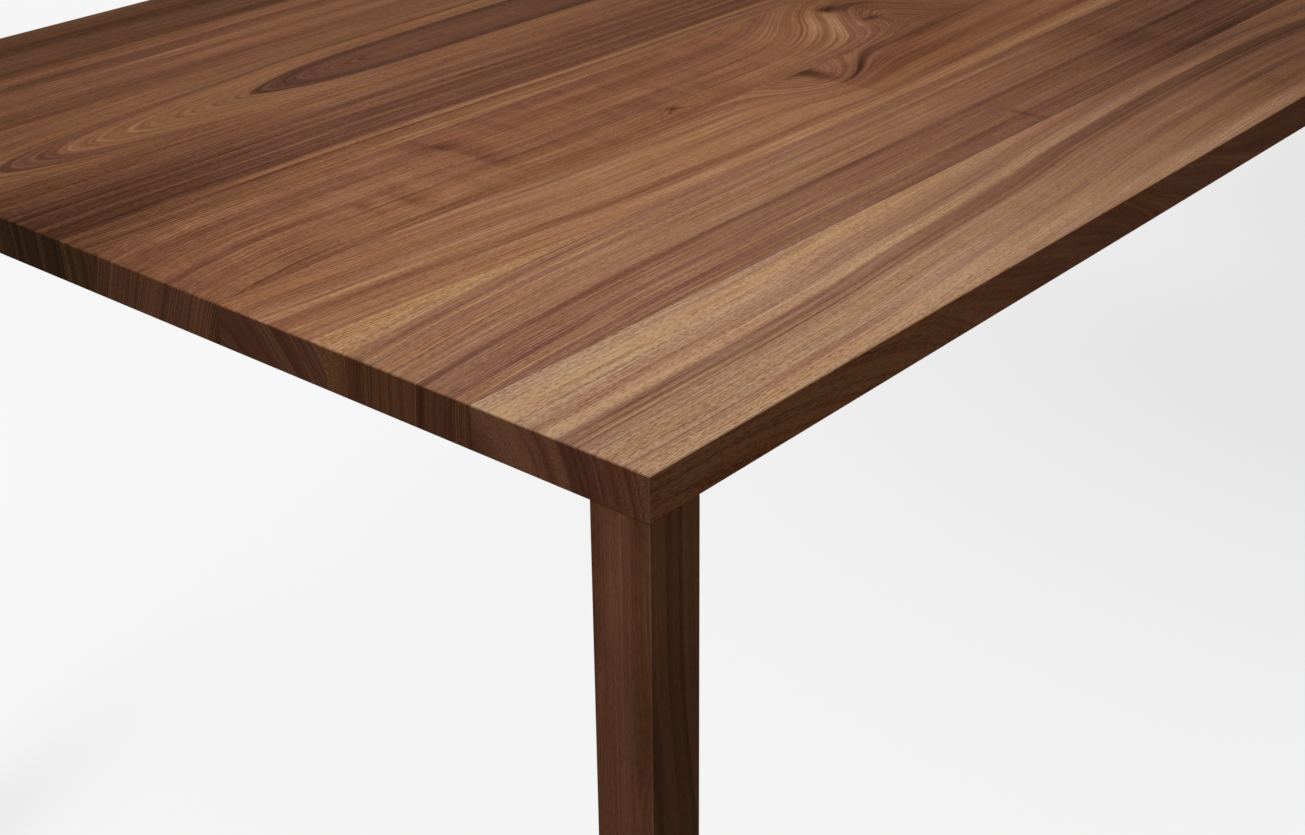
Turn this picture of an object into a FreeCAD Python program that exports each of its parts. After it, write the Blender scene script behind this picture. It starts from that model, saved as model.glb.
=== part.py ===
"""Solid walnut dining table: an edge-glued top on four square legs.

The top is eight full-length staves, glued edge to edge, with the end grain left open at both short
ends. Each leg stands flush with the corner of the top. A steel bracket, let into the underside, carries
it: the bracket's plate is screwed into threaded inserts in the top, and its tube tenon is bonded into
a mortise in the leg. Three steel channels across the underside keep the top flat. A levelling glide
screws into the foot of each leg.

Frame, in millimetres: origin on the floor under the middle of the top, +X along the length,
+Y from the front to the back, +Z up. A sub-part at the front left corner is drawn in a frame whose
origin is that corner, so that its sizes are all positive, and is mirrored to the other corners.
"""
import FreeCAD, Part
import math
import os

import Sketcher
from FreeCAD import Vector

# Driving dimensions: alias, value in millimetres (or a count or an angle where it says so), meaning.
SIZES = (
    ("table_length", 2000, "overall length, along the staves"),
    ("table_height", 750, "floor to the face of the top, glides screwed right in"),
    ("top_thickness", 30, "thickness of the top"),
    ("stave_1_width", 135, "front stave"),
    ("stave_2_width", 125, ""),
    ("stave_3_width", 104, ""),
    ("stave_4_width", 135, ""),
    ("stave_5_width", 152, ""),
    ("stave_6_width", 119, ""),
    ("stave_7_width", 121, ""),
    ("stave_8_width", 109, "back stave"),
    ("top_arris", 0.6, "chamfer along the outer edges of the top"),
    ("leg_width", 44, "side of the square leg"),
    ("leg_arris", 0.6, "chamfer along the long edges of a leg"),
    ("leg_head_chamfer", 0.3, "chamfer round the head of a leg, where it meets the top"),
    ("leg_foot_chamfer", 1, "chamfer round the foot of a leg"),
    ("bracket_inset", 5, "outer faces of the top to the bracket's plate"),
    ("bracket_width", 120, "side of the bracket's square plate"),
    ("bracket_thickness", 5, "thickness of the bracket's plate"),
    ("bracket_corner_radius", 10, "corners of the bracket's plate"),
    ("bracket_fit", 0.2, "room round the plate in its recess"),
    ("tenon_width", 25, "side of the bracket's square tube"),
    ("tenon_wall", 2.5, "wall of the bracket's tube"),
    ("tenon_corner_radius", 3, "outer corners of the bracket's tube"),
    ("tenon_length", 120, "tube below the plate"),
    ("weld_leg", 2, "fillet weld between tube and plate"),
    ("glue_gap", 0.2, "room for adhesive round the tenon"),
    ("mortise_spare_depth", 2, "mortise below the end of the tenon"),
    ("bracket_screw_inner", 94, "corner of the top to the inner screw, along both edges"),
    ("bracket_screw_far", 100, "corner of the top to the edge screws"),
    ("bracket_screw_edge", 24, "outer face of the top to the edge screws"),
    ("bracket_screw_diameter", 8, "M8 countersunk screw"),
    ("bracket_screw_length", 20, "from the face of its head"),
    ("bracket_screw_head", 16, "diameter of the head"),
    ("bracket_socket_flats", 5, "hexagon socket, across flats"),
    ("bracket_socket_depth", 3, "hexagon socket, depth"),
    ("screw_hole_clearance", 0.5, "a screw's hole in steel is this much wider than the screw"),
    ("thread_clearance", 0.1, "a threaded bore is this much wider than its screw"),
    ("bracket_insert_diameter", 12, "threaded insert M8"),
    ("bracket_insert_length", 15, "threaded insert M8"),
    ("drill_spare_depth", 1, "drilled hole beyond the end of a screw or an insert"),
    ("channel_offset", 600, "middle of the table to the outer channels"),
    ("channel_edge_distance", 70, "long edge of the top to a channel's end"),
    ("channel_width", 40, "width over the flanges"),
    ("channel_height", 14, "web face to the tips of the flanges"),
    ("channel_gauge", 3, "thickness of the channel"),
    ("channel_bend_radius", 2, "outer corners of the channel"),
    ("channel_fit", 0.3, "room beside the web and the flanges"),
    ("channel_end_gap", 5, "recess beyond each end of a channel, for the top to shrink"),
    ("flange_slot_spare_depth", 1, "flange slot beyond the tip of a flange"),
    ("channel_screw_count", 4, "count of screws in a channel"),
    ("channel_screw_pitch", 230, "spacing of the screws in a channel"),
    ("channel_slot_length", 20, "slotted hole in the web, end to end"),
    ("channel_screw_diameter", 6, "flange head wood screw"),
    ("channel_screw_length", 20, "below its head"),
    ("channel_screw_head", 14, "diameter of the flange head"),
    ("channel_screw_head_height", 3, "height of the head"),
    ("channel_screw_head_chamfer", 1.5, "chamfer round the head"),
    ("channel_socket_flats", 4, "hexagon socket, across flats"),
    ("channel_socket_depth", 2, "hexagon socket, depth"),
    ("pad_thickness", 2, "felt pad under a glide"),
    ("pad_diameter", 26, "felt pad under a glide"),
    ("glide_base_diameter", 30, "foot of a glide"),
    ("glide_base_height", 6, "foot of a glide"),
    ("glide_base_chamfer", 1.5, "chamfer round the upper edge of a glide's foot"),
    ("glide_gap", 0.5, "foot of the leg to a glide that is screwed right in"),
    ("glide_stud_diameter", 8, "M8 stud of a glide"),
    ("glide_stud_length", 28, "stud above the foot of a glide"),
    ("glide_stud_embedment", 4, "stud moulded into the foot of a glide"),
    ("foot_insert_diameter", 12, "threaded insert M8 in a leg"),
    ("foot_insert_length", 20, "threaded insert M8 in a leg"),
    ("foot_bore_diameter", 9, "drilled hole above a leg's insert"),
    ("foot_bore_depth", 34, "foot of the leg to the end of the drilled hole"),
)

STAVE_WIDTHS = [f"Sizes.{alias}" for alias, _, _ in SIZES if alias.startswith("stave_")]
TABLE_WIDTH = "(" + " + ".join(STAVE_WIDTHS) + ")"
UNDERSIDE_Z = "(Sizes.table_height - Sizes.top_thickness)"
LEG_FOOT_Z = "(Sizes.pad_thickness + Sizes.glide_base_height + Sizes.glide_gap)"
LEG_LENGTH = f"({UNDERSIDE_Z} - {LEG_FOOT_Z})"
LEG_MIDDLE = "(Sizes.leg_width / 2)"
CORNER_X = "-Sizes.table_length / 2"
CORNER_Y = f"-{TABLE_WIDTH} / 2"
CHANNEL_LENGTH = f"({TABLE_WIDTH} - 2 * Sizes.channel_edge_distance)"

BRACKET_SCREWS = (
    ("Sizes.bracket_screw_inner", "Sizes.bracket_screw_inner"),
    ("Sizes.bracket_screw_far", "Sizes.bracket_screw_edge"),
    ("Sizes.bracket_screw_edge", "Sizes.bracket_screw_far"),
)

HEXAGON_ANGLES = range(0, 360, 60)
HALF_COUNTERSINK_ANGLE = 45
TINY = 1e-4

doc = FreeCAD.newDocument("dining_table")
sheet = doc.addObject("Spreadsheet::Sheet", "Sizes")


def fill_sheet():
    """Write one row for each driving dimension: meaning, and the value under its alias."""
    for row, (alias, value, meaning) in enumerate(SIZES, start=1):
        sheet.set(f"A{row}", meaning or alias.replace("_", " "))
        sheet.set(f"B{row}", str(value))
        sheet.setAlias(f"B{row}", alias)
    doc.recompute()


def value_of(expression):
    """The number that an expression on the sheet gives now."""
    return float(sheet.evalExpression(expression))


# Sketches. Every point is held at signed distances from the sketch's origin.

def start_body(label, x=CORNER_X, y=CORNER_Y, z="0"):
    """A body at a bound place, by default over the front left corner of the table."""
    body = doc.addObject("PartDesign::Body", label)
    body.Label = label
    for axis, expression in zip("xyz", (x, y, z)):
        body.setExpression(f"Placement.Base.{axis}", expression)
    return body


def start_sketch(body, role="XY_Plane", height="0"):
    """A sketch on one of the body's own origin planes, raised along the plane's normal."""
    planes = {feature.Role: feature for feature in body.Origin.OriginFeatures}
    sketch = body.newObject("Sketcher::SketchObject", f"{body.Label}_sketch")
    sketch.AttachmentSupport = [(planes[role], "")]
    sketch.MapMode = "FlatFace"
    sketch.setExpression("AttachmentOffset.Base.z", height)
    return sketch


def bind(sketch, constraint, expression):
    """Add a dimension and tie it to an expression."""
    index = sketch.addConstraint(constraint)
    sketch.setExpression(f"Constraints[{index}]", expression)


def hold_point(sketch, geometry, end, x, y):
    """Hold one point of a piece of geometry at x, y from the sketch's origin."""
    for kind, expression in (("DistanceX", x), ("DistanceY", y)):
        constraint = Sketcher.Constraint(kind, -1, 1, geometry, end, value_of(expression))
        bind(sketch, constraint, expression)


def add_polygon(sketch, points):
    """A closed outline of straight lines through the points."""
    places = [Vector(value_of(x), value_of(y), 0) for x, y in points]
    following = places[1:] + places[:1]
    lines = [sketch.addGeometry(Part.LineSegment(*pair)) for pair in zip(places, following)]
    for line, next_line in zip(lines, lines[1:] + lines[:1]):
        sketch.addConstraint(Sketcher.Constraint("Coincident", line, 2, next_line, 1))
    for line, (x, y) in zip(lines, points):
        hold_point(sketch, line, 1, x, y)


def add_rectangle(sketch, low_x, low_y, size_x, size_y):
    """A rectangle from its low corner."""
    high_x = f"{low_x} + {size_x}"
    high_y = f"{low_y} + {size_y}"
    add_polygon(sketch, [(low_x, low_y), (high_x, low_y), (high_x, high_y), (low_x, high_y)])


def add_square(sketch, middle, width):
    """A square whose middle lies on the diagonal of the sketch."""
    low = f"{middle} - ({width}) / 2"
    add_rectangle(sketch, low, low, width, width)


def add_circle(sketch, x, y, diameter):
    """A circle about x, y."""
    centre = Vector(value_of(x), value_of(y), 0)
    radius = value_of(diameter) / 2
    circle = sketch.addGeometry(Part.Circle(centre, Vector(0, 0, 1), radius))
    hold_point(sketch, circle, 3, x, y)
    bind(sketch, Sketcher.Constraint("Diameter", circle, 2 * radius), diameter)


def add_hexagon(sketch, x, y, flats):
    """A hexagon about x, y, by its width across flats."""
    corner = f"({flats}) / sqrt(3)"
    add_polygon(sketch, [(f"{x} + {corner} * cos({angle} deg)", f"{y} + {corner} * sin({angle} deg)")
                         for angle in HEXAGON_ANGLES])


def add_slot(sketch, x, y, width, length):
    """A round-ended slot about x, y, long in the sketch's second direction."""
    reach = f"({length} - {width}) / 2"
    radius = value_of(width) / 2
    low = Vector(value_of(x), value_of(f"{y} - {reach}"), 0)
    high = Vector(value_of(x), value_of(f"{y} + {reach}"), 0)
    across = Vector(radius, 0, 0)
    low_circle = Part.Circle(low, Vector(0, 0, 1), radius)
    high_circle = Part.Circle(high, Vector(0, 0, 1), radius)
    low_arc = sketch.addGeometry(Part.ArcOfCircle(low_circle, math.pi, 2 * math.pi))
    right = sketch.addGeometry(Part.LineSegment(low + across, high + across))
    high_arc = sketch.addGeometry(Part.ArcOfCircle(high_circle, 0, math.pi))
    left = sketch.addGeometry(Part.LineSegment(high - across, low - across))
    ring = (low_arc, right, high_arc, left)
    for part, next_part in zip(ring, ring[1:] + ring[:1]):
        sketch.addConstraint(Sketcher.Constraint("Tangent", part, 2, next_part, 1))
    sketch.addConstraint(Sketcher.Constraint("Equal", low_arc, high_arc))
    hold_point(sketch, low_arc, 3, x, f"{y} - {reach}")
    hold_point(sketch, high_arc, 3, x, f"{y} + {reach}")
    bind(sketch, Sketcher.Constraint("Diameter", low_arc, 2 * radius), width)


# Features.

def add_pad(body, sketch, length, downwards=False):
    """Raise a sketch into a solid, along the plane's normal or against it."""
    pad = body.newObject("PartDesign::Pad", f"{body.Label}_pad")
    pad.Profile = sketch
    pad.setExpression("Length", length)
    pad.Reversed = downwards
    doc.recompute()
    return pad


def add_pocket(body, sketch, depth, upwards):
    """Cut a sketch out of the solid, and make sure that it did cut."""
    before = body.Shape.Volume
    pocket = body.newObject("PartDesign::Pocket", f"{body.Label}_pocket")
    pocket.Profile = sketch
    pocket.setExpression("Length", depth)
    pocket.Reversed = upwards
    doc.recompute()
    if body.Shape.Volume > before - TINY:
        raise RuntimeError(f"{body.Label}: a pocket cut nothing")
    return pocket


def add_revolution(body, points):
    """Turn an outline, given as radius and height, about the body's Z axis."""
    sketch = start_sketch(body, "XZ_Plane")
    add_polygon(sketch, points)
    turned = body.newObject("PartDesign::Revolution", f"{body.Label}_revolution")
    turned.Profile = sketch
    turned.ReferenceAxis = (sketch, ["V_Axis"])
    turned.Angle = 360
    doc.recompute()
    return turned


def edges_where(feature, test):
    """The names of a feature's edges that pass a test on their bounding box."""
    return [f"Edge{number}" for number, edge in enumerate(feature.Shape.Edges, start=1)
            if test(edge.BoundBox)]


def is_upright(box):
    """True for a straight edge along Z."""
    return box.ZLength > TINY and box.XLength < TINY and box.YLength < TINY


def is_level_at(box, height):
    """True for an edge that lies at one height."""
    return abs(box.ZMin - height) < TINY and abs(box.ZMax - height) < TINY


def round_edges(body, feature, names, radius):
    """Fillet some edges of the body's last feature."""
    fillet = body.newObject("PartDesign::Fillet", f"{body.Label}_fillet")
    fillet.Base = (feature, names)
    fillet.setExpression("Radius", radius)
    doc.recompute()
    return fillet


def chamfer_edges(body, feature, names, size):
    """Chamfer some edges of the body's last feature."""
    chamfer = body.newObject("PartDesign::Chamfer", f"{body.Label}_chamfer")
    chamfer.Base = (feature, names)
    chamfer.setExpression("Size", size)
    doc.recompute()
    return chamfer


def mirrored(source, label, normal):
    """A sub-part on the other side of one of the table's two upright middle planes."""
    copy = doc.addObject("Part::Mirroring", label)
    copy.Label = label
    copy.Source = source
    copy.Normal = normal
    return copy


def to_four_corners(piece, stem):
    """The front left piece and its mirror images at the other three corners."""
    front_right = mirrored(piece, f"{stem}_front_right", Vector(1, 0, 0))
    back_left = mirrored(piece, f"{stem}_back_left", Vector(0, 1, 0))
    back_right = mirrored(front_right, f"{stem}_back_right", Vector(0, 1, 0))
    return [piece, front_right, back_left, back_right]


# The leg and what is in it.

def make_leg():
    """A square leg with a mortise in its head and a drilled, counterbored foot."""
    body = start_body("leg_front_left", z=LEG_FOOT_Z)
    outline = start_sketch(body)
    add_rectangle(outline, "0", "0", "Sizes.leg_width", "Sizes.leg_width")
    blank = add_pad(body, outline, LEG_LENGTH)
    footed = chamfer_edges(body, blank, edges_where(blank, lambda box: is_level_at(box, 0)),
                           "Sizes.leg_foot_chamfer")
    eased = chamfer_edges(body, footed, edges_where(footed, is_upright), "Sizes.leg_arris")
    head = value_of(LEG_LENGTH)
    chamfer_edges(body, eased, edges_where(eased, lambda box: is_level_at(box, head)),
                  "Sizes.leg_head_chamfer")

    mortise_width = "(Sizes.tenon_width + 2 * Sizes.glue_gap)"
    mortise_outline = start_sketch(body, height=LEG_LENGTH)
    add_square(mortise_outline, LEG_MIDDLE, mortise_width)
    mortise = add_pocket(body, mortise_outline, "Sizes.tenon_length + Sizes.mortise_spare_depth",
                         upwards=False)
    low = value_of(f"{LEG_MIDDLE} - {mortise_width} / 2")
    high = value_of(f"{LEG_MIDDLE} + {mortise_width} / 2")

    def is_in_mortise(box):
        return box.XMin > low - TINY and box.XMax < high + TINY

    mouth = edges_where(mortise, lambda box: is_level_at(box, head) and is_in_mortise(box))
    chamfer_edges(body, mortise, mouth, "Sizes.weld_leg + Sizes.glue_gap")

    foot_bores = (("Sizes.foot_insert_diameter", "Sizes.foot_insert_length"),
                  ("Sizes.foot_bore_diameter", "Sizes.foot_bore_depth"))
    for diameter, depth in foot_bores:
        bore = start_sketch(body)
        add_circle(bore, LEG_MIDDLE, LEG_MIDDLE, diameter)
        add_pocket(body, bore, depth, upwards=True)
    return body


def make_foot_insert():
    """The threaded insert that takes a glide's stud, flush with the foot of the leg."""
    body = start_body("foot_insert_front_left", z=LEG_FOOT_Z)
    ring = start_sketch(body)
    add_circle(ring, LEG_MIDDLE, LEG_MIDDLE, "Sizes.foot_insert_diameter")
    add_circle(ring, LEG_MIDDLE, LEG_MIDDLE, "Sizes.glide_stud_diameter + Sizes.thread_clearance")
    add_pad(body, ring, "Sizes.foot_insert_length")
    return body


# The levelling glide: stud, moulded foot and felt pad, on the axis of the leg.

def start_glide_body(label, z):
    """A body on the axis of the front left leg."""
    return start_body(label, f"{CORNER_X} + {LEG_MIDDLE}", f"{CORNER_Y} + {LEG_MIDDLE}", z)


def make_glide_stud():
    """The threaded stud, moulded into the glide's foot."""
    foot = "Sizes.pad_thickness + Sizes.glide_base_height - Sizes.glide_stud_embedment"
    body = start_glide_body("glide_stud_front_left", foot)
    section = start_sketch(body)
    add_circle(section, "0", "0", "Sizes.glide_stud_diameter")
    add_pad(body, section, "Sizes.glide_stud_embedment + Sizes.glide_stud_length")
    return body


def make_glide_base():
    """The moulded foot: a low round disc with a blind bore for the stud."""
    body = start_glide_body("glide_base_front_left", "Sizes.pad_thickness")
    radius = "Sizes.glide_base_diameter / 2"
    stud_radius = "Sizes.glide_stud_diameter / 2"
    bore_floor = "Sizes.glide_base_height - Sizes.glide_stud_embedment"
    add_revolution(body, [
        ("0", "0"),
        (radius, "0"),
        (radius, "Sizes.glide_base_height - Sizes.glide_base_chamfer"),
        (f"{radius} - Sizes.glide_base_chamfer", "Sizes.glide_base_height"),
        (stud_radius, "Sizes.glide_base_height"),
        (stud_radius, bore_floor),
        ("0", bore_floor),
    ])
    return body


def make_glide_pad():
    """The felt pad that stands on the floor."""
    body = start_glide_body("glide_pad_front_left", "0")
    disc = start_sketch(body)
    add_circle(disc, "0", "0", "Sizes.pad_diameter")
    add_pad(body, disc, "Sizes.pad_thickness")
    return body


# The leg bracket, its screws and inserts. Their bodies stand on the underside of the top.

def make_bracket():
    """A square plate with three countersunk holes and a square tube tenon welded under it."""
    body = start_body("leg_bracket_front_left", z=UNDERSIDE_Z)
    plate_outline = start_sketch(body)
    add_rectangle(plate_outline, "Sizes.bracket_inset", "Sizes.bracket_inset",
                  "Sizes.bracket_width", "Sizes.bracket_width")
    plate = add_pad(body, plate_outline, "Sizes.bracket_thickness")
    round_edges(body, plate, edges_where(plate, is_upright), "Sizes.bracket_corner_radius")

    hole_centres = start_sketch(body)
    hole_width = "Sizes.bracket_screw_diameter + Sizes.screw_hole_clearance"
    for x, y in BRACKET_SCREWS:
        add_circle(hole_centres, x, y, hole_width)
    doc.recompute()
    hole = body.newObject("PartDesign::Hole", "bracket_holes")
    hole.Profile = hole_centres
    hole.DepthType = "ThroughAll"
    hole.HoleCutType = "Countersink"
    hole.HoleCutCustomValues = True
    hole.HoleCutCountersinkAngle = 2 * HALF_COUNTERSINK_ANGLE
    hole.Reversed = True
    hole.setExpression("Diameter", hole_width)
    hole.setExpression("HoleCutDiameter", "Sizes.bracket_screw_head + Sizes.screw_hole_clearance")
    doc.recompute()

    tube_outline = start_sketch(body)
    add_square(tube_outline, LEG_MIDDLE, "Sizes.tenon_width")
    tube = add_pad(body, tube_outline, "Sizes.tenon_length", downwards=True)
    tube_edges = edges_where(tube, lambda box: is_upright(box) and box.ZMax < TINY)
    rounded = round_edges(body, tube, tube_edges, "Sizes.tenon_corner_radius")
    low = value_of(f"{LEG_MIDDLE} - Sizes.tenon_width / 2")
    high = value_of(f"{LEG_MIDDLE} + Sizes.tenon_width / 2")

    def is_tube_root(box):
        return is_level_at(box, 0) and box.XMin > low - TINY and box.XMax < high + TINY \
            and box.YMin > low - TINY and box.YMax < high + TINY

    chamfer_edges(body, rounded, edges_where(rounded, is_tube_root), "Sizes.weld_leg")
    tube_bore = start_sketch(body, height="-Sizes.tenon_length")
    add_square(tube_bore, LEG_MIDDLE, "Sizes.tenon_width - 2 * Sizes.tenon_wall")
    add_pocket(body, tube_bore, "Sizes.tenon_length", upwards=True)
    return body


def make_bracket_screws():
    """The countersunk screws of one bracket, heads flush with the plate."""
    body = start_body("bracket_screws_front_left", z=UNDERSIDE_Z)
    heads = start_sketch(body)
    shanks = start_sketch(body)
    sockets = start_sketch(body)
    for x, y in BRACKET_SCREWS:
        add_circle(heads, x, y, "Sizes.bracket_screw_head")
        add_circle(shanks, x, y, "Sizes.bracket_screw_diameter")
        add_hexagon(sockets, x, y, "Sizes.bracket_socket_flats")
    cones = add_pad(body, heads, "(Sizes.bracket_screw_head - Sizes.bracket_screw_diameter) / 2")
    cones.TaperAngle = -HALF_COUNTERSINK_ANGLE
    add_pad(body, shanks, "Sizes.bracket_screw_length")
    add_pocket(body, sockets, "Sizes.bracket_socket_depth", upwards=True)
    return body


def make_bracket_inserts():
    """The threaded inserts of one bracket, against the upper face of its plate."""
    body = start_body("bracket_inserts_front_left", z=f"{UNDERSIDE_Z} + Sizes.bracket_thickness")
    rings = start_sketch(body)
    for x, y in BRACKET_SCREWS:
        add_circle(rings, x, y, "Sizes.bracket_insert_diameter")
        add_circle(rings, x, y, "Sizes.bracket_screw_diameter + Sizes.thread_clearance")
    add_pad(body, rings, "Sizes.bracket_insert_length")
    return body


def make_bracket_recess():
    """What the top loses at the front left corner: the plate's recess and the drilled holes."""
    body = start_body("bracket_recess_front_left", z=UNDERSIDE_Z)
    outline = start_sketch(body)
    low = "Sizes.bracket_inset - Sizes.bracket_fit"
    side = "(Sizes.bracket_width + 2 * Sizes.bracket_fit)"
    add_rectangle(outline, low, low, side, side)
    recess = add_pad(body, outline, "Sizes.bracket_thickness")
    round_edges(body, recess, edges_where(recess, is_upright),
                "Sizes.bracket_corner_radius + Sizes.bracket_fit")
    drills = start_sketch(body)
    for x, y in BRACKET_SCREWS:
        add_circle(drills, x, y, "Sizes.bracket_insert_diameter")
    add_pad(body, drills,
            "Sizes.bracket_thickness + Sizes.bracket_insert_length + Sizes.drill_spare_depth")
    return body


# The channels. Each is drawn from its low side in X and its front end in Y.

def channel_screw_places():
    """Where the screws of a channel are, from its low side and front end."""
    count = round(value_of("Sizes.channel_screw_count"))
    return [("Sizes.channel_width / 2",
             f"{CHANNEL_LENGTH} / 2 + {number - (count - 1) / 2} * Sizes.channel_screw_pitch")
            for number in range(count)]


def start_channel_body(label, middle_x, z):
    """A body at the low side and front end of a channel."""
    return start_body(label, f"{middle_x} - Sizes.channel_width / 2",
                      f"{CORNER_Y} + Sizes.channel_edge_distance", z)


def make_channel(side, middle_x):
    """A folded steel channel: web flush with the underside, flanges up, slots through the web."""
    body = start_channel_body(f"channel_{side}", middle_x, UNDERSIDE_Z)
    profile = start_sketch(body, "XZ_Plane")
    gauge = "Sizes.channel_gauge"
    height = "Sizes.channel_height"
    width = "Sizes.channel_width"
    add_polygon(profile, [
        ("0", "0"), (width, "0"), (width, height), (f"{width} - {gauge}", height),
        (f"{width} - {gauge}", gauge), (gauge, gauge), (gauge, height), ("0", height),
    ])
    folded = add_pad(body, profile, CHANNEL_LENGTH, downwards=True)
    corners = edges_where(folded, lambda box: is_level_at(box, 0) and box.XLength < TINY)
    round_edges(body, folded, corners, "Sizes.channel_bend_radius")
    slots = start_sketch(body)
    for x, y in channel_screw_places():
        add_slot(slots, x, y, "(Sizes.channel_screw_diameter + Sizes.screw_hole_clearance)",
                 "Sizes.channel_slot_length")
    add_pocket(body, slots, gauge, upwards=True)
    return body


def make_channel_screws(side, middle_x):
    """The wood screws of one channel, with flange heads that bridge its slots."""
    body = start_channel_body(f"channel_screws_{side}", middle_x, UNDERSIDE_Z)
    heads = start_sketch(body)
    shanks = start_sketch(body)
    sockets = start_sketch(body, height="-Sizes.channel_screw_head_height")
    for x, y in channel_screw_places():
        add_circle(heads, x, y, "Sizes.channel_screw_head")
        add_circle(shanks, x, y, "Sizes.channel_screw_diameter")
        add_hexagon(sockets, x, y, "Sizes.channel_socket_flats")
    pans = add_pad(body, heads, "Sizes.channel_screw_head_height", downwards=True)
    low = -value_of("Sizes.channel_screw_head_height")
    rims = edges_where(pans, lambda box: is_level_at(box, low))
    chamfer_edges(body, pans, rims, "Sizes.channel_screw_head_chamfer")
    add_pad(body, shanks, "Sizes.channel_screw_length")
    add_pocket(body, sockets, "Sizes.channel_socket_depth", upwards=True)
    return body


def make_channel_recess(side, middle_x):
    """What the top loses to a channel: a shallow web recess, two flange slots and drilled holes."""
    body = start_channel_body(f"channel_recess_{side}", middle_x, UNDERSIDE_Z)
    front = "-Sizes.channel_end_gap"
    length = f"({CHANNEL_LENGTH} + 2 * Sizes.channel_end_gap)"
    web = start_sketch(body)
    add_rectangle(web, "-Sizes.channel_fit", front,
                  "(Sizes.channel_width + 2 * Sizes.channel_fit)", length)
    add_pad(body, web, "Sizes.channel_gauge")
    flanges = start_sketch(body)
    slot_width = "(Sizes.channel_gauge + 2 * Sizes.channel_fit)"
    for flange_x in ("0", "(Sizes.channel_width - Sizes.channel_gauge)"):
        add_rectangle(flanges, f"{flange_x} - Sizes.channel_fit", front, slot_width, length)
    add_pad(body, flanges, "Sizes.channel_height + Sizes.flange_slot_spare_depth")
    drills = start_sketch(body)
    for x, y in channel_screw_places():
        add_circle(drills, x, y, "Sizes.channel_screw_diameter")
    add_pad(body, drills, "Sizes.channel_screw_length + Sizes.drill_spare_depth")
    return body


# The top.

def make_stave_blank(number):
    """One stave with its arrises, before the underside is routed and drilled."""
    before = " + ".join(["0"] + STAVE_WIDTHS[:number - 1])
    width = STAVE_WIDTHS[number - 1]
    body = start_body(f"stave_blank_{number}", y=f"{CORNER_Y} + {before}", z=UNDERSIDE_Z)
    outline = start_sketch(body)
    add_rectangle(outline, "0", "0", "Sizes.table_length", width)
    board = add_pad(body, outline, "Sizes.top_thickness")
    length = value_of("Sizes.table_length")
    outer_y = {1: 0.0, len(STAVE_WIDTHS): value_of(width)}.get(number)

    def is_outer(box):
        at_end = box.XLength < TINY and (box.XMax < TINY or box.XMin > length - TINY)
        at_side = outer_y is not None and box.YLength < TINY and abs(box.YMin - outer_y) < TINY
        return at_side if box.YLength < TINY else at_end

    chamfer_edges(body, board, edges_where(board, is_outer), "Sizes.top_arris")
    return body


def make_top(recesses):
    """The staves, each routed and drilled for the hardware that crosses it."""
    tool = doc.addObject("Part::Compound", "underside_recesses")
    tool.Links = recesses
    staves = []
    for number in range(1, len(STAVE_WIDTHS) + 1):
        stave = doc.addObject("Part::Cut", f"top_stave_{number}")
        stave.Base = make_stave_blank(number)
        stave.Tool = tool
        stave.Label = f"top_stave_{number}"
        staves.append(stave)
    return staves


def make_table():
    """Every sub-part of the table."""
    corner_pieces = {
        "leg": make_leg(),
        "foot_insert": make_foot_insert(),
        "glide_stud": make_glide_stud(),
        "glide_base": make_glide_base(),
        "glide_pad": make_glide_pad(),
        "leg_bracket": make_bracket(),
        "bracket_screws": make_bracket_screws(),
        "bracket_inserts": make_bracket_inserts(),
    }
    pieces = []
    for stem, piece in corner_pieces.items():
        pieces += to_four_corners(piece, stem)
    recesses = to_four_corners(make_bracket_recess(), "bracket_recess")

    channels = {"left": "-Sizes.channel_offset", "middle": "0", "right": "Sizes.channel_offset"}
    for side, middle_x in channels.items():
        pieces.append(make_channel(side, middle_x))
        pieces.append(make_channel_screws(side, middle_x))
        recesses.append(make_channel_recess(side, middle_x))
    return make_top(recesses) + pieces


def check_document(pieces):
    """Stop if any object failed to compute or any sub-part has no sound solid."""
    for item in doc.Objects:
        if {"Invalid", "Error"} & set(item.State):
            raise RuntimeError(f"{item.Label} failed: {item.State}")
    for piece in pieces:
        if piece.Shape.isNull() or not piece.Shape.isValid() or not piece.Shape.Solids:
            raise RuntimeError(f"{piece.Label} has no valid solid")


def export_pieces(pieces):
    """Write one STEP file for each sub-part, named after it."""
    os.makedirs("parts", exist_ok=True)
    for piece in pieces:
        piece.Shape.exportStep(f"parts/{piece.Label}.step")


fill_sheet()
table_pieces = make_table()
doc.recompute()
check_document(table_pieces)
export_pieces(table_pieces)
print(f"{len(table_pieces)} sub-parts, {sum(len(piece.Shape.Solids) for piece in table_pieces)} solids")
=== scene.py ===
"""Looks for the walnut dining table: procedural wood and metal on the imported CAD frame, with a studio."""

import math
from dataclasses import dataclass

import bmesh
import bpy
from mathutils import Matrix, Vector, noise


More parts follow.
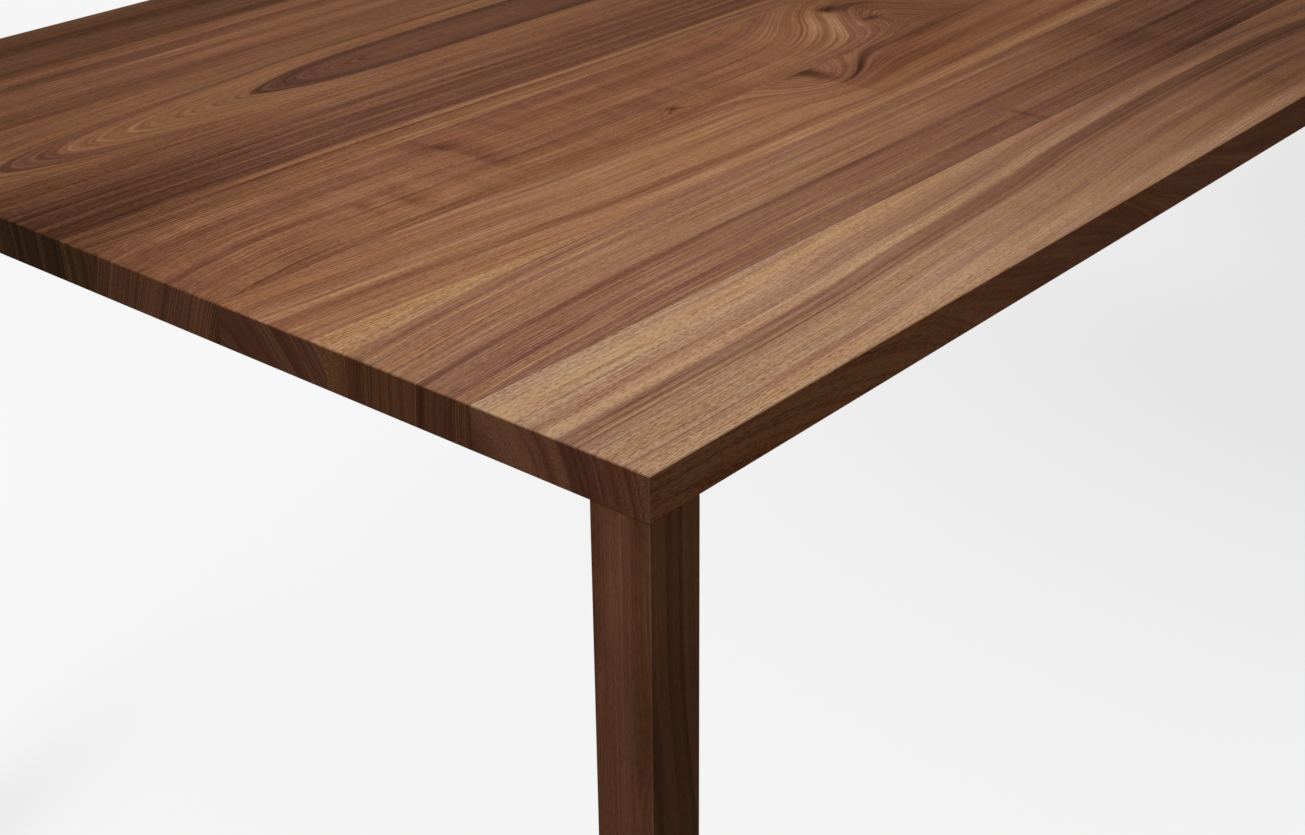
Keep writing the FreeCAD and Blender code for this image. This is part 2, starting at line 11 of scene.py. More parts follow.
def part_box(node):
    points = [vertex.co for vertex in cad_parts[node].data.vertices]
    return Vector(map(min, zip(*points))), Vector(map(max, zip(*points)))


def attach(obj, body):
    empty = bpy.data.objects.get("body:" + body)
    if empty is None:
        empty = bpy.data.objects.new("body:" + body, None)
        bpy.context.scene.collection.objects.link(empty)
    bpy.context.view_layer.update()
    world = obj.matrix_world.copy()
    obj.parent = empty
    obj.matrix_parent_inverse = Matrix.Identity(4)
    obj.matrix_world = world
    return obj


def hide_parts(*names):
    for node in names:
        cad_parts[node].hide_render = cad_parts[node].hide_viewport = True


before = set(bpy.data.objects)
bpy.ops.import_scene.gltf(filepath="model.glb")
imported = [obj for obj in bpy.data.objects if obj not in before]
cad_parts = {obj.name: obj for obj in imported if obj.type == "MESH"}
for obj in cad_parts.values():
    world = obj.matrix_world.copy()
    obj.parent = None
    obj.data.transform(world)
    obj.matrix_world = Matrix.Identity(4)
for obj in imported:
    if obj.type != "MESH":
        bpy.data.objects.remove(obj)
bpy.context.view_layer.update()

MILLIMETRES = 1000.0  # in a metre: the materials count in millimetres, the frame in metres
CORNERS = ("front_left", "front_right", "back_left", "back_right")


# ---------------------------------------------------------------- node trees written as arithmetic


class Field:
    """A number that varies over a surface. Arithmetic on it adds Math nodes to its graph."""

    def __init__(self, graph, socket):
        self.graph = graph
        self.socket = socket

    def __add__(self, other):
        return self.graph.math("ADD", self, other)

    __radd__ = __add__

    def __sub__(self, other):
        return self.graph.math("SUBTRACT", self, other)

    def __rsub__(self, other):
        return self.graph.math("SUBTRACT", other, self)

    def __mul__(self, other):
        return self.graph.math("MULTIPLY", self, other)

    __rmul__ = __mul__

    def __truediv__(self, other):
        return self.graph.math("DIVIDE", self, other)

    def __pow__(self, power):
        return self.graph.math("POWER", self, power)

    def __neg__(self):
        return self * -1.0


class Graph:
    """The node tree of one material, or of the world."""

    def __init__(self, tree):
        self.tree = tree
        tree.nodes.clear()

    def node(self, kind, **settings):
        made = self.tree.nodes.new(kind)
        for name, value in settings.items():
            setattr(made, name, value)
        return made

    def feed(self, socket, value):
        """Links a field or a socket to the socket, or sets its plain value."""
        if isinstance(value, Field):
            value = value.socket
        if isinstance(value, bpy.types.NodeSocket):
            self.tree.links.new(value, socket)
        else:
            socket.default_value = value

    def math(self, operation, *values):
        made = self.node("ShaderNodeMath", operation=operation)
        for socket, value in zip(made.inputs, values):
            self.feed(socket, value)
        return Field(self, made.outputs[0])

    def place(self):
        """The surface point in the table's frame, as three fields in millimetres."""
        made = self.node("ShaderNodeSeparateXYZ")
        self.feed(made.inputs[0], self.node("ShaderNodeTexCoord").outputs["Object"])
        return [Field(self, output) * MILLIMETRES for output in made.outputs]

    def normal(self):
        """The face's direction, as three fields."""
        made = self.node("ShaderNodeSeparateXYZ")
        self.feed(made.inputs[0], self.node("ShaderNodeNewGeometry").outputs["Normal"])
        return [Field(self, output) for output in made.outputs]

    def noise(self, *steps, detail=1.0, seed=0.0):
        """Smooth noise, about -1 to 1. Each step is a coordinate divided by its own grain size."""
        kind = {2: "2D", 3: "3D"}[len(steps)]
        point = self.node("ShaderNodeCombineXYZ")
        for socket, step in zip(point.inputs, steps):
            self.feed(socket, step + seed)
        made = self.node("ShaderNodeTexNoise", noise_dimensions=kind)
        self.feed(made.inputs["Vector"], point.outputs[0])
        made.inputs["Scale"].default_value = 1.0
        made.inputs["Detail"].default_value = detail
        return Field(self, made.outputs[0]) * 2.0 - 1.0

    def cloud(self, place, size, detail, seed=0.0):
        """Noise with features of about size millimetres."""
        return self.noise(*[axis / size for axis in place], detail=detail, seed=seed)

    def curve(self, position, points):
        """A smooth curve through (position, value) points, level beyond its ends."""
        places, values = zip(*points)
        start, reach = min(places), max(places) - min(places)
        low = min(values)
        height = max(max(values) - low, 1e-6)
        made = self.node("ShaderNodeFloatCurve")
        line = made.mapping.curves[0]
        spots = [((place - start) / reach, (value - low) / height) for place, value in points]
        for number, spot in enumerate(spots):
            if number < len(line.points):
                line.points[number].location = spot
            else:
                line.points.new(*spot)
        for point in line.points:
            point.handle_type = "AUTO_CLAMPED"
        made.mapping.update()
        self.feed(made.inputs["Value"], (position - start) / reach)
        return Field(self, made.outputs[0]) * height + low

    def clamp(self, value, low=0.0, high=1.0):
        return self.math("MINIMUM", self.math("MAXIMUM", value, low), high)

    def ramp(self, position, colours):
        """A colour from evenly spaced colours."""
        made = self.node("ShaderNodeValToRGB")
        stops = made.color_ramp.elements
        for inner in range(1, len(colours) - 1):
            stops.new(inner / (len(colours) - 1))
        for stop, colour in zip(stops, colours):
            stop.color = colour
        self.feed(made.inputs["Fac"], position)
        return made.outputs["Color"]

    def tint(self, colour, red, green, blue):
        """The colour with each of its channels times a field."""
        factors = self.node("ShaderNodeCombineXYZ")
        for socket, factor in zip(factors.inputs, (red, green, blue)):
            self.feed(socket, factor)
        made = self.node("ShaderNodeVectorMath", operation="MULTIPLY")
        self.feed(made.inputs[0], colour)
        self.feed(made.inputs[1], factors.outputs[0])
        return made.outputs[0]

    def bump(self, height, depth):
        """A normal from a field between 0 and 1, where 1 stands depth metres proud."""
        made = self.node("ShaderNodeBump")
        made.inputs["Distance"].default_value = depth
        self.feed(made.inputs["Height"], height)
        return made.outputs[0]


def new_material(name):
    material = bpy.data.materials.new(name)
    material.use_nodes = True
    return material, Graph(material.node_tree)


def srgb(red, green, blue):
    """A colour given in 0 to 255 display values, as the linear colour that the nodes use."""
    shares = [value / 255.0 for value in (red, green, blue)]
    linear = [share / 12.92 if share <= 0.04045 else ((share + 0.055) / 1.055) ** 2.4 for share in shares]
    return (*linear, 1.0)


def finish_surface(graph, colour, roughness, normal=None, **settings):
    """Ends a material with the Principled shader. Settings are plain values, named as its sockets are."""
    shader = graph.node("ShaderNodeBsdfPrincipled")
    graph.feed(shader.inputs["Base Color"], colour)
    graph.feed(shader.inputs["Roughness"], roughness)
    if normal is not None:
        graph.feed(shader.inputs["Normal"], normal)
    for name, value in settings.items():
        shader.inputs[name.replace("_", " ")].default_value = value
    output = graph.node("ShaderNodeOutputMaterial")
    graph.feed(output.inputs["Surface"], shader.outputs[0])


# ---------------------------------------------------------------- walnut

WALNUT_TONES = (
    srgb(58, 32, 15),
    srgb(84, 52, 34),
    srgb(110, 71, 50),
    srgb(136, 93, 67),
    srgb(160, 119, 89),
    srgb(186, 147, 113),
)
LEVEL = ((0, 0), (2000, 0))
FINENESS = ((0, 1.35), (250, 1.05), (600, 0.8), (2000, 0.8))  # (along, strength of the fine texture)

# How big the features of the grain are, in millimetres: along it, then across it or over the rings.
WANDER_SIZE = (420.0, 60.0)
RIPPLE_SIZE = (150.0, 16.0)
DRIFT_SIZE = (900.0, 9.0)
YEAR_SIZE = (400.0, 4.5)
PORE_SIZE = (6.0, 0.6)
BAND_SIZE = (700.0, 8.0)
STREAK_SIZE = (330.0, 2.4)
HAIRLINE_SIZE = (130.0, 0.75)
GRIT_SIZE = (3.4, 0.75)
BAR_SIZE = (15.0, 55.0)
GOLD_SIZE = (450.0, 11.0)
OLIVE_SIZE = (300.0, 7.0)

RIPPLE = 0.6  # millimetres that the ripple shifts the grain
RING_DRIFT = 0.8  # how unevenly the rings are spaced, in rings
LATE_WOOD_SHARPNESS = 4.0
YEAR_STRENGTH = 0.4  # of the late wood of a middling year
YEAR_SPREAD = 0.9
PORE_THRESHOLD = 0.05
PORE_SHARPNESS = 2.4

# How much each texture moves the tone, which runs from 0 to 1.
BAND_TONE = 0.05
STREAK_TONE = 0.1
HAIRLINE_TONE = 0.28
GRIT_TONE = 0.09
PALE_GRIT_TONE = 0.15  # added in pale wood, where open pores show most
PORE_TONE = 0.15
LATE_TONE = 0.09
LATE_PORE_TONE = 0.16  # pores crowd in the late wood and darken it further
ARRIS_HIGHLIGHT = 0.25  # painted highlight: how much paler the outer edges are, as if they caught the light

PALE_TONE = 0.7  # where pale wood begins
PALE_STEEPNESS = 5.0
GOLD_SPREAD = 0.2
OLIVE_SPREAD = 0.13

WOOD_RELIEF = 0.00006  # metres from the bottom of a pore to the surface
PORE_DENT = 0.8  # shares of the relief
LATE_DENT = 0.2
OILED_ROUGHNESS = 0.52
PORE_ROUGHNESS = 0.1  # added in the pores
LATE_ROUGHNESS = 0.05  # and in the late wood
OILED_SHINE = 0.03


@dataclass
class Knot:
    """Where a branch lifts the growth rings to or from the face. Lengths in millimetres."""

    along: float
    across: float
    before: float  # how far the grain bends on the side of the board's near end
    beyond: float
    half_width: float
    lift: float  # change of the radius of the ring that meets the face


@dataclass
class Patch:
    """A soft lighter or darker spot. As a streak it follows a ring, and its place across is the radius."""

    along: float
    across: float
    before: float
    beyond: float
    half_width: float
    tone: float


@dataclass
class Board:
    """One sawn piece of walnut. Places across it are measured at its near end, in millimetres.

    Its growth rings are circles round a pith that runs along it, at (across, depth) from the
    near arris, so that one set of rings gives the stripes of the faces and the arcs of the ends.
    """

    name: str
    seed: float
    pith: tuple
    stripes: list = ()  # (place across, tone): tone 0 is the darkest walnut, 1 the palest
    rings: list = ()  # (radius, tone), for a board whose pith is under or over its middle
    sway: tuple = LEVEL  # (along, shift across)
    sink: tuple = LEVEL  # (along, change of the pith's depth)
    shade: tuple = LEVEL  # (along, change of tone): partly the wood's own tone, partly painted shade
    waver: float = 4.0
    ring_gap: float = 3.4
    fibre: float = 1.0  # strength of the fine stripes
    late_wood: float = 1.0  # strength of the dark line that ends each ring
    curl: float = 0.03  # strength of the soft bars across the grain
    gilding: float = 0.5  # how much yellower its pale rings are than its dark ones
    cast: tuple = (1.0, 1.0, 1.0)  # colour factor of the whole board
    grain_and_painted_light_x: tuple = (0.6, 0.45, 0.38)  # colour factor of the faces that look along x: the end grain on the top, darker with painted shade; painted light on the legs
    grain_and_painted_light_y: tuple = (0.96, 0.63, 0.43)  # the same along y: painted shade on the long edges of the top; painted light on the legs
    knots: tuple = ()
    patches: tuple = ()
    streaks: tuple = ()

    def ring_tones(self):
        """(radius, tone) of the rings that meet the face in the stripes, smallest first."""
        met = [(math.hypot(place - self.pith[0], self.pith[1]), tone) for place, tone in self.stripes]
        return sorted([*met, *self.rings])

    def mean_tone(self):
        tones = [tone for _, tone in self.ring_tones()]
        return sum(tones) / len(tones)


def bell(graph, along, across, spot):
    """1 at the spot, fading to 0 all round it, with its own reach towards each end of the board."""
    offset = along - spot.along
    is_beyond = graph.math("GREATER_THAN", offset, 0.0)
    reach = is_beyond * (spot.beyond - spot.before) + spot.before
    distance = (offset / reach) ** 2.0 + ((across - spot.across) / spot.half_width) ** 2.0
    return graph.math("EXPONENT", -distance)


def grain_noise(graph, board, size, along, across, depth, detail=1.0, seed=0.0):
    """Noise in the solid wood, drawn out along the grain."""
    length, width = size
    return graph.noise(along / length, across / width, depth / width, detail=detail, seed=board.seed + seed)


def ring_noise(graph, board, size, along, radius, detail=1.0, seed=0.0):
    """Noise that is the same all along the arc of one growth ring."""
    length, width = size
    return graph.noise(radius / width, along / length, detail=detail, seed=board.seed + seed)


def straightened(graph, board, along, across, depth):
    """The place across the board of this grain at the board's near end."""
    wander = grain_noise(graph, board, WANDER_SIZE, along, across, depth) * board.waver
    ripple = grain_noise(graph, board, RIPPLE_SIZE, along, across, depth, detail=0.0, seed=7.3) * RIPPLE
    return across - graph.curve(along, board.sway) + wander + ripple


def ring_radius(graph, board, along, across, depth):
    """Which growth ring a point lies in: its distance from the pith, less what knots bend."""
    straight = straightened(graph, board, along, across, depth)
    drop = graph.curve(along, board.sink) + board.pith[1]
    radius = ((straight - board.pith[0]) ** 2.0 + (depth - drop) ** 2.0) ** 0.5
    for knot in board.knots:
        radius = radius + bell(graph, along, across, knot) * knot.lift
    return radius


def growth_lines(graph, board, radius, along):
    """Thin dark late wood at the end of each ring, stronger in some years than in others."""
    drift = ring_noise(graph, board, DRIFT_SIZE, along, radius, seed=3.1) * RING_DRIFT
    phase = graph.math("FRACT", radius / board.ring_gap + drift)
    strength = ring_noise(graph, board, YEAR_SIZE, along, radius, seed=5.7) * YEAR_SPREAD + YEAR_STRENGTH
    return phase ** LATE_WOOD_SHARPNESS * graph.clamp(strength)


def pores(graph, board, along, across, depth):
    """Short open vessels along the grain, 0 to 1."""
    speck = grain_noise(graph, board, PORE_SIZE, along, across, depth, seed=11.0)
    return graph.clamp((speck - PORE_THRESHOLD) * PORE_SHARPNESS)


def fibre_tone(graph, board, radius, along, across, depth, pale):
    """The fine changes of tone: bands of years, hairlines along the grain, grit and bars across it."""
    band = ring_noise(graph, board, BAND_SIZE, along, radius, seed=1.9)
    streak = ring_noise(graph, board, STREAK_SIZE, along, radius, seed=2.3)
    hairline = ring_noise(graph, board, HAIRLINE_SIZE, along, radius, detail=2.0, seed=2.9)
    grit = grain_noise(graph, board, GRIT_SIZE, along, across, depth, detail=0.0, seed=4.4)
    bars = grain_noise(graph, board, BAR_SIZE, along, across, depth, seed=9.5)
    fine = streak * STREAK_TONE + hairline * HAIRLINE_TONE + grit * (pale * PALE_GRIT_TONE + GRIT_TONE)
    fine = fine * board.fibre
    return band * BAND_TONE + fine * graph.curve(along, FINENESS) + bars * board.curl


def ring_tone(graph, board, rings, along, across, radius):
    """The tone of the growth rings, with the board's shade along it, in part painted shade, and its spots and
    streaks.
    """
    tone = rings + graph.curve(along, board.shade)
    for patch in board.patches:
        tone = tone + bell(graph, along, across, patch) * patch.tone
    for streak in board.streaks:
        tone = tone + bell(graph, along, radius, streak) * streak.tone
    return tone


def wood_hue(graph, board, rings, along, radius, along_x, along_y):
    """Factors for red, green and blue: the board's cast, its end grain with painted shade, painted light on
    the legs, and gold and olive in its rings.
    """
    paler = rings - board.mean_tone()
    golden = ring_noise(graph, board, GOLD_SIZE, along, radius, detail=2.0, seed=8.8) * GOLD_SPREAD
    golden = golden + paler * board.gilding
    olive = ring_noise(graph, board, OLIVE_SIZE, along, radius, detail=2.0, seed=6.1) * OLIVE_SPREAD
    # Painted shade on the ends and long edges of the top and painted light on the legs' faces, chosen by the
    # face's direction, with the end grain's own darkness.
    face_grain_and_light = [
        1.0 - along_x * (1.0 - end) - along_y * (1.0 - side)
        for end, side in zip(board.grain_and_painted_light_x, board.grain_and_painted_light_y)
    ]
    red, green, blue = [share * factor for share, factor in zip(face_grain_and_light, board.cast)]
    green = green * (olive + 1.0) * (1.0 - paler * 0.1)
    return red, green, blue * (olive + 1.0) * (1.0 - golden)


def walnut(board, along, across, depth, graph):
    """Ends the graph with oiled walnut for one board."""
    radius = ring_radius(graph, board, along, across, depth)
    rings = graph.curve(radius, board.ring_tones())
    tone = ring_tone(graph, board, rings, along, across, radius)
    late = growth_lines(graph, board, radius, along)
    vessels = pores(graph, board, along, across, depth)
    pale = graph.clamp((tone - PALE_TONE) * PALE_STEEPNESS)
    tone = tone + fibre_tone(graph, board, radius, along, across, depth, pale)
    tone = tone - late * (vessels * LATE_PORE_TONE + LATE_TONE) * board.late_wood - vessels * PORE_TONE

    along_x, along_y, upward = [part ** 2.0 for part in graph.normal()]
    # Painted highlight: the edges between faces that look along y and faces that look along x or up are made
    # paler, as if they caught the light.
    arris = (along_x * along_y + along_y * upward) * 4.0  # 1 half way round an edge's rounding
    colour = graph.ramp(graph.clamp(tone + arris * ARRIS_HIGHLIGHT), WALNUT_TONES)
    colour = graph.tint(colour, *wood_hue(graph, board, rings, along, radius, along_x, along_y))
    finish_surface(
        graph,
        colour,
        late * LATE_ROUGHNESS + vessels * PORE_ROUGHNESS + OILED_ROUGHNESS,
        graph.bump(1.0 - vessels * PORE_DENT - late * LATE_DENT, WOOD_RELIEF),
        Specular_IOR_Level=OILED_SHINE,
    )


TOP_BOARDS = (
    Board(
        name="top_stave_1",
        seed=3.0,
        pith=(150, 50),
        stripes=[
            (-60, 0.84), (-40, 0.95), (-26, 0.92), (-14, 0.83), (0, 0.87), (6, 0.88), (12, 0.83),
            (15, 0.76), (19, 0.81), (24, 0.87), (30, 0.81), (34, 0.86), (40, 0.8), (45, 0.82),
            (48, 0.76), (50.5, 0.74), (52, 0.58), (53.5, 0.71), (56, 0.66), (57.5, 0.51), (59, 0.65),
            (64, 0.64), (68, 0.67), (70.5, 0.88), (74, 0.94), (79, 0.88), (84, 0.78), (89, 0.77),
            (93, 0.82), (97, 0.84), (102, 0.91), (112, 0.94), (125, 0.9), (135, 0.86),
        ],
        sway=((0, 0), (200, 3), (350, 12), (500, 19.5), (650, 32), (850, 38), (1100, 26), (2000, 7)),
        # Painted shade, with some of the wood's own tone: darker towards the far end of the top, and back
        # towards the wood's tone past x = 1150.
        shade=(
            (0, 0.02), (250, 0.01), (500, -0.08), (800, -0.24), (1000, -0.35), (1150, -0.35),
            (1500, -0.1), (2000, -0.04),
        ),
        waver=2.5,
        gilding=0.5,
        cast=(1.02, 1.08, 1.15),
        grain_and_painted_light_x=(0.54, 0.375, 0.34),
        knots=(Knot(235, 142, 75, 90, 14, -6),),
        patches=(
            Patch(0, 26, 1, 3, 22, -0.1),
            Patch(0, 118, 1, 3, 22, 0.07),
            Patch(800, 46, 330, 400, 26, -0.055),
            Patch(740, 11, 480, 500, 6.5, 0.1),
            Patch(390, 110, 130, 150, 28, -0.06),
            Patch(860, 40, 10, 12, 14, -0.07),
            Patch(922, 131, 8, 8, 3, -0.15),
        ),
        streaks=(Patch(240, 55.1, 60, 80, 1.2, -0.2),),
    ),
    Board(
        name="top_stave_2",
        seed=17.0,
        pith=(-330, 40),
        stripes=[
            (-44, 0.55), (-18, 0.5), (-8, 0.54), (0, 0.48), (4, 0.64), (8, 0.6), (14, 0.6), (17, 0.5),
            (21, 0.58), (26, 0.54), (32, 0.58), (37, 0.54), (40.5, 0.42), (44, 0.58), (48, 0.66),
            (56, 0.64), (63, 0.69), (66, 0.6), (72, 0.69), (79, 0.68), (83, 0.57), (88, 0.71),
            (94, 0.61), (101, 0.6), (108.5, 0.79), (125, 0.84),
        ],
        sway=((0, 0), (120, 12), (250, 18), (600, 21), (2000, 28)),
        # Painted shade, with some of the wood's own tone: darker towards the far end of the top, and back
        # towards the wood's tone past x = 1150.
        shade=(
            (0, 0.03), (300, 0.04), (500, 0), (800, -0.1), (1000, -0.24), (1150, -0.24), (1500, -0.06),
            (2000, 0),
        ),
        waver=2.5,
        fibre=1.3,
        gilding=0.9,
        cast=(1.01, 1.03, 1.1),
        patches=(
            Patch(0, 97, 1, 3, 16, -0.09),
            Patch(190, 10, 70, 60, 12, 0.09),
            Patch(350, 32, 100, 110, 24, 0.045),
            Patch(655, 20, 3, 4, 25, -0.13),
            Patch(905, 50, 20, 14, 50, -0.05),
            Patch(942, 60, 14, 12, 60, 0.05),
            Patch(980, 4, 80, 40, 4, -0.17),
        ),
        grain_and_painted_light_x=(0.56, 0.43, 0.345),
    ),
    Board(
        name="top_stave_3",
        seed=31.0,
        pith=(170, 130),
        stripes=[
            (-40, 0.76), (0, 0.82), (10, 0.84), (16, 0.72), (22, 0.66), (30, 0.72), (40, 0.66),
            (47, 0.58), (55, 0.7), (68, 0.73), (78, 0.66), (87, 0.65), (93, 0.68), (100, 0.7),
            (108, 0.64), (116, 0.67),
        ],
        rings=[
            (100, 0.64), (108, 0.62), (114, 0.66), (118, 0.64), (123, 0.67), (126, 0.63), (129, 0.67),
            (134.5, 0.68), (137, 0.54), (139.4, 0.6),
        ],
        sway=((0, 0), (214, -14), (343, -24), (600, -30), (900, -20), (2000, 0)),
        shade=((0, 0), (450, 0.02), (640, -0.04), (850, -0.06), (2000, -0.05)),
        fibre=1.1,
        late_wood=0.7,
        gilding=0.6,
        cast=(0.96, 0.91, 0.86),
        grain_and_painted_light_x=(0.56, 0.46, 0.47),
        knots=(Knot(632, 104, 50, 48, 55, -32),),
        patches=(
            Patch(900, 8, 700, 900, 9, 0.12),
            Patch(632, 50, 3, 320, 30, -0.1),
            Patch(624, 103, 24, 22, 7, -0.25),
            Patch(636, 91, 12, 9, 17, -0.36),
            Patch(685, 94, 24, 26, 9, 0.05),
            Patch(705, 68, 50, 110, 20, -0.1),
        ),
        streaks=(Patch(668, 136.5, 30, 55, 2.2, -0.3), Patch(800, 140.5, 50, 110, 2.0, -0.24)),
    ),
    Board(
        name="top_stave_4",
        seed=47.0,
        pith=(-240, 120),
        stripes=[
            (-60, 0.5), (-30, 0.46), (0, 0.52), (20, 0.56), (33, 0.48), (45, 0.55), (52, 0.44),
            (60, 0.56), (78, 0.5), (95, 0.45), (106, 0.54), (115, 0.47), (135, 0.46), (160, 0.5),
        ],
        sway=((0, 0), (60, 11), (120, 15), (250, 14), (420, 8), (2000, 8)),
        shade=((0, -0.07), (200, 0.05), (500, 0.0), (700, 0.04), (900, 0.0), (2000, 0.0)),
        fibre=1.35,
        curl=0.08,
        gilding=0.6,
        cast=(1.01, 0.97, 0.96),
        grain_and_painted_light_x=(0.95, 0.92, 0.9),
        knots=(Knot(835, 108, 105, 80, 85, -82), Knot(487, 23, 14, 14, 8, -7)),
        patches=(
            Patch(0, 3, 1, 3, 8, -0.12),
            Patch(0, 130, 1, 3, 12, -0.14),
            Patch(297, 118, 18, 5, 16, -0.17),
            Patch(301, 102, 4, 12, 10, -0.2),
            Patch(306, 66, 6, 16, 40, -0.1),
            Patch(207, 36, 5, 16, 22, -0.17),
            Patch(176, 57, 5, 12, 5, -0.2),
            Patch(240, 44, 120, 30, 24, 0.05),
            Patch(757, 74, 60, 28, 26, 0.08),
            Patch(805, 97, 8, 18, 9, -0.55),
            Patch(835, 88, 20, 40, 14, -0.14),
            Patch(811, 48, 12, 10, 5, -0.3),
            Patch(788, 44, 12, 12, 10, 0.14),
            Patch(900, 70, 55, 400, 80, -0.06),
            Patch(487, 23, 5, 7, 3.5, -0.35),
        ),
        streaks=(
            Patch(765, 290, 60, 30, 3, 0.2),
            Patch(782, 274, 40, 25, 4, 0.2),
            Patch(770, 282, 50, 30, 2, -0.1),
        ),
    ),
    Board(
        name="top_stave_5",
        seed=59.0,
        pith=(420, 60),
        stripes=[
            (-20, 0.5), (-4, 0.56), (1, 0.66), (4, 0.54), (7, 0.64), (11, 0.48), (16, 0.5), (22, 0.5),
            (26, 0.38), (31, 0.62), (34, 0.5), (38, 0.36), (44, 0.28), (49, 0.4), (52, 0.3), (58, 0.32),
            (63, 0.42), (67, 0.3), (72, 0.36), (78, 0.28), (86, 0.4), (91, 0.3), (97, 0.44),
            (104, 0.34), (112, 0.38), (120, 0.46), (130, 0.44), (152, 0.5),
        ],
        sway=((0, 0), (240, 0), (600, -6), (2000, -14)),
        shade=((0, -0.22), (60, -0.14), (200, -0.03), (400, 0.06), (800, 0.03), (2000, 0.0)),
        fibre=1.4,
        gilding=0.9,
        cast=(0.97, 0.97, 0.98),
        grain_and_painted_light_x=(0.75, 0.8, 0.58),
    ),
    Board(
        name="top_stave_6",
        seed=71.0,
        pith=(39, -64),
        rings=[
            (0, 0.34), (25, 0.3), (31, 0.18), (35, 0.44), (42, 0.52), (52, 0.54), (56, 0.34), (60, 0.5),
            (90, 0.46), (120, 0.5),
        ],
        sink=((0, 0), (300, 30), (550, 53), (1000, 54), (1500, 40), (2000, 10)),
        shade=((0, -0.07), (300, 0.03), (2000, 0.01)),
        fibre=0.95,
        late_wood=0.6,
        gilding=1.1,
        cast=(0.95, 0.98, 1.0),
    ),
    Board(
        name="top_stave_7",
        seed=83.0,
        pith=(-260, 90),
        stripes=[
            (-20, 0.42), (0, 0.42), (20, 0.38), (38, 0.52), (50, 0.42), (60, 0.5), (75, 0.42),
            (85, 0.34), (95, 0.5), (110, 0.42), (121, 0.34),
        ],
        sway=((0, 0), (600, 8), (2000, 20)),
        shade=((0, -0.09), (300, 0.0), (500, 0.055), (2000, 0.03)),
        waver=5.0,
        fibre=1.15,
        gilding=0.15,
        cast=(0.97, 0.98, 0.98),
    ),
    Board(
        name="top_stave_8",
        seed=97.0,
        pith=(300, 70),
        stripes=[(0, 0.22), (35, 0.3), (50, 0.27), (60, 0.16), (70, 0.15), (78, 0.26), (109, 0.3)],
        waver=5.0,
        cast=(1.0, 1.07, 1.15),
    ),
)

LEG_BOARDS = tuple(
    Board(
        name="leg_" + corner,
        seed=120.0 + 13.0 * number,
        pith=(-20, 70),
        rings=[
            (20, 0.52), (32.8, 0.57), (36, 0.57), (39.4, 0.55), (43.8, 0.56), (46.5, 0.5), (48.3, 0.38),
            (50, 0.49), (52.9, 0.5), (57.6, 0.44), (60, 0.5), (62.3, 0.56), (66.1, 0.57), (70, 0.58),
            (72.5, 0.45), (74, 0.41), (76.8, 0.37), (77.6, 0.45), (79, 0.51), (83, 0.51), (88, 0.5),
            (96, 0.49),
        ],
        shade=((0, 0), (30, 0.05), (75, 0.015), (130, -0.02), (190, -0.03), (720, -0.03)),
        waver=1.5,
        fibre=0.4,
        late_wood=0.6,
        gilding=-0.45,
        # Painted light: the legs' faces are made paler than their wood in both directions, those that look
        # along x a little more.
        grain_and_painted_light_x=(1.22, 1.14, 1.1),
        grain_and_painted_light_y=(1.22, 1.15, 0.86),
        patches=(
            Patch(30, 42, 40, 20, 7, -0.16),
            Patch(80, 44, 30, 28, 5.5, -0.22),
            Patch(60, 28, 25, 25, 5, 0.05),
            Patch(190, 2, 80, 600, 8, -0.07),
        ),
        knots=(Knot(250, -6, 100, 470, 12, 15),),
        streaks=(Patch(160, 71, 40, 40, 2.2, -0.16),),
    )
    for number, corner in enumerate(CORNERS)
)


def dress(node, material):
    """Gives every slot of a CAD node the material."""
    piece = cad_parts[node]
    if not piece.data.materials:
        piece.data.materials.append(material)
    for number in range(len(piece.data.materials)):
        piece.data.materials[number] = material


def dress_top():
    for board in TOP_BOARDS:
        low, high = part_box(board.name)
        material, graph = new_material("walnut_" + board.name)
        x, y, z = graph.place()
        along, across = x - low.x * MILLIMETRES, y - low.y * MILLIMETRES
        depth = high.z * MILLIMETRES - z
        walnut(board, along, across, depth, graph)
        dress(board.name, material)


def dress_legs():
    for board in LEG_BOARDS:
        low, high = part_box(board.name)
        material, graph = new_material("walnut_" + board.name)
        x, y, z = graph.place()
        along, across = high.z * MILLIMETRES - z, y - low.y * MILLIMETRES
        depth = x - low.x * MILLIMETRES
        walnut(board, along, across, depth, graph)
        dress(board.name, material)


# ---------------------------------------------------------------- metal and plastic

STUD_THREAD_PITCH = 1.25  # M8, in millimetres

# How proud each surface's texture stands, in metres.
STUD_THREAD_DEPTH = 0.0006
COAT_RELIEF = 0.00005
PLATING_RELIEF = 0.00002
NYLON_RELIEF = 0.00004
FELT_RELIEF = 0.0002


def coated_steel():
    """Black powder coat: a fine orange peel, slightly uneven in colour."""
    material, graph = new_material("black_coated_steel")
    place = graph.place()
    peel = graph.cloud(place, 1.7, detail=2.0)
    cloud = graph.cloud(place, 45.0, detail=2.0, seed=4.0)
    colour = graph.ramp(cloud * 0.5 + 0.5, (srgb(24, 24, 26), srgb(42, 42, 44)))
    roughness = peel * 0.08 + cloud * 0.05 + 0.46
    finish_surface(graph, colour, roughness, graph.bump(peel * 0.5 + 0.5, COAT_RELIEF))
    return material


